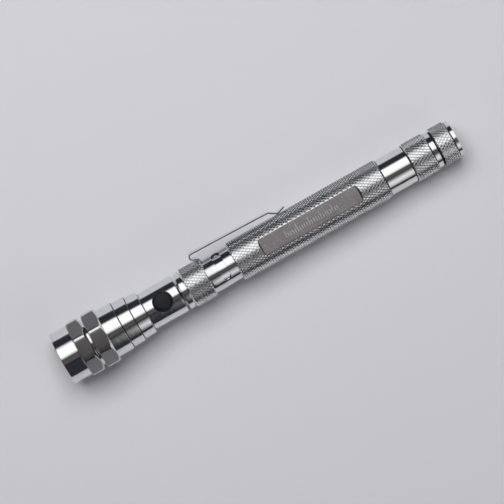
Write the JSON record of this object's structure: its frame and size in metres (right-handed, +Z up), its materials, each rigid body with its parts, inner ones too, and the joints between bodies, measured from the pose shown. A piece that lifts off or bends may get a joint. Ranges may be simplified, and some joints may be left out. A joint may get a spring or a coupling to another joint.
{
  "type": "magnetic pickup tool",
  "caption": "Telescoping magnetic pickup tool with a lamp in its octagonal-ringed head, knurled handle, push button, pocket clip and screwed tail cap with a rear magnet.",
  "frame": {"origin": "on the surface the tool lies on, under the middle of its length and under its axis", "axes": "+X along the tool from the lamp to the tail cap, +Y towards the pocket clip, +Z up; the axis of the tool is 11 mm above the origin"},
  "size_m": [0.17, 0.0227, 0.022],
  "materials": {
    "polished_metal": "polished, nickel-like",
    "satin_metal": "turned and machined aluminium, polished steps and satin flats",
    "knurled_metal": "bright diamond knurl with a satin milled flat",
    "spring_steel": "polished spring steel",
    "magnet_plating": "nickel plated",
    "cell_steel": "satin stainless can",
    "brass": "drawn brass",
    "black_rubber": "matte",
    "circuit_board": "solder mask",
    "white_plastic": "moulded",
    "dark_plastic": "moulded",
    "clear_epoxy": "clear cast epoxy"
  },
  "bodies": {
    "handle": {"handle_barrel": "knurled_metal", "handle_front_collar": "polished_metal"},
    "clip_band": {"clip_band": "spring_steel"},
    "clip_leaf": {"clip_leaf": "spring_steel"},
    "tail_seal": {"tail_o_ring": "black_rubber"},
    "tail_cap": {"tail_cap": "knurled_metal", "tail_magnet": "magnet_plating"},
    "tube_1": {"telescope_tube_1": "polished_metal", "tube_1_slide_bush": "brass"},
    "tube_2": {"telescope_tube_2": "polished_metal", "tube_2_slide_bush": "brass"},
    "tube_3": {"telescope_tube_3": "polished_metal", "tube_3_slide_bush": "brass"},
    "tube_4": {"telescope_tube_4": "polished_metal", "tube_4_slide_bush": "brass"},
    "neck_ring": {"neck_friction_ring": "brass"},
    "neck": {"gooseneck": "spring_steel", "neck_rear_ferrule": "brass", "neck_anchor_plug": "brass", "switch_barrel": "polished_metal", "switch_module": "dark_plastic", "switch_circuit_board": "circuit_board", "rear_contact_spring": "spring_steel"},
    "button": {"switch_button": "black_rubber", "switch_plunger": "dark_plastic"},
    "head_seal": {"head_o_ring": "black_rubber"},
    "lamp_head": {"front_bezel": "polished_metal", "lamp_head_shell": "satin_metal", "led_plate": "white_plastic", "led_1": "clear_epoxy", "led_2": "clear_epoxy", "led_3": "clear_epoxy", "front_magnet": "magnet_plating", "led_circuit_board": "circuit_board", "front_contact_spring": "spring_steel", "battery_sleeve": "dark_plastic", "battery_cell_1": "cell_steel", "battery_cell_2": "cell_steel", "battery_cell_3": "cell_steel", "battery_cell_4": "cell_steel"}
  },
  "joints": [
    {"name": "tube_1_slide", "type": "slide", "parent": "handle", "child": "tube_1", "axis": [-1, 0, 0], "range_m": [0, 0.078]},
    {"name": "tube_2_slide", "type": "slide", "parent": "tube_1", "child": "tube_2", "axis": [-1, 0, 0], "range_m": [0, 0.078]},
    {"name": "tube_3_slide", "type": "slide", "parent": "tube_2", "child": "tube_3", "axis": [-1, 0, 0], "range_m": [0, 0.078]},
    {"name": "tube_4_slide", "type": "slide", "parent": "tube_3", "child": "tube_4", "axis": [-1, 0, 0], "range_m": [0, 0.078]},
    {"name": "neck_slide", "type": "slide", "parent": "tube_4", "child": "neck_ring", "axis": [-1, 0, 0], "range_m": [0, 0.078]},
    {"name": "head_spin", "type": "hinge", "parent": "neck_ring", "child": "neck", "pos_m": [0.0565, 0, 0.011], "axis": [1, 0, 0], "continuous": true},
    {"name": "button_press", "type": "slide", "parent": "neck", "child": "button", "axis": [0, -0.0958, -0.9954], "range_m": [0, 0.0008], "stiffness_N_per_m": 1000},
    {"name": "lamp_head_turn", "type": "hinge", "parent": "neck", "child": "head_seal", "pos_m": [-0.05015, 0, 0.011], "axis": [-1, 0, 0], "range_deg": [0, 2160]},
    {"name": "lamp_head_withdraw", "type": "slide", "parent": "head_seal", "child": "lamp_head", "axis": [-1, 0, 0], "range_m": [0, 0.006]},
    {"name": "tail_cap_withdraw", "type": "slide", "parent": "handle", "child": "tail_seal", "axis": [1, 0, 0], "range_m": [0, 0.005]},
    {"name": "tail_cap_turn", "type": "hinge", "parent": "tail_seal", "child": "tail_cap", "pos_m": [0.07685, 0, 0.011], "axis": [1, 0, 0], "range_deg": [0, 1800]},
    {"name": "clip_turn", "type": "hinge", "parent": "handle", "child": "clip_band", "pos_m": [-0.0159, 0, 0.011], "axis": [1, 0, 0], "continuous": true},
    {"name": "clip_leaf_flex", "type": "hinge", "parent": "clip_band", "child": "clip_leaf", "pos_m": [-0.0228, 0.00852, 0.01243], "axis": [0, -0.165, 0.9863], "range_deg": [0, 5], "stiffness_Nm_per_rad": 2}
  ],
  "couplings": [
    {"joint": "lamp_head_withdraw", "follows": "lamp_head_turn", "m_per_rad": 0.00015915},
    {"joint": "tail_cap_withdraw", "follows": "tail_cap_turn", "m_per_rad": 0.00015915}
  ]
}
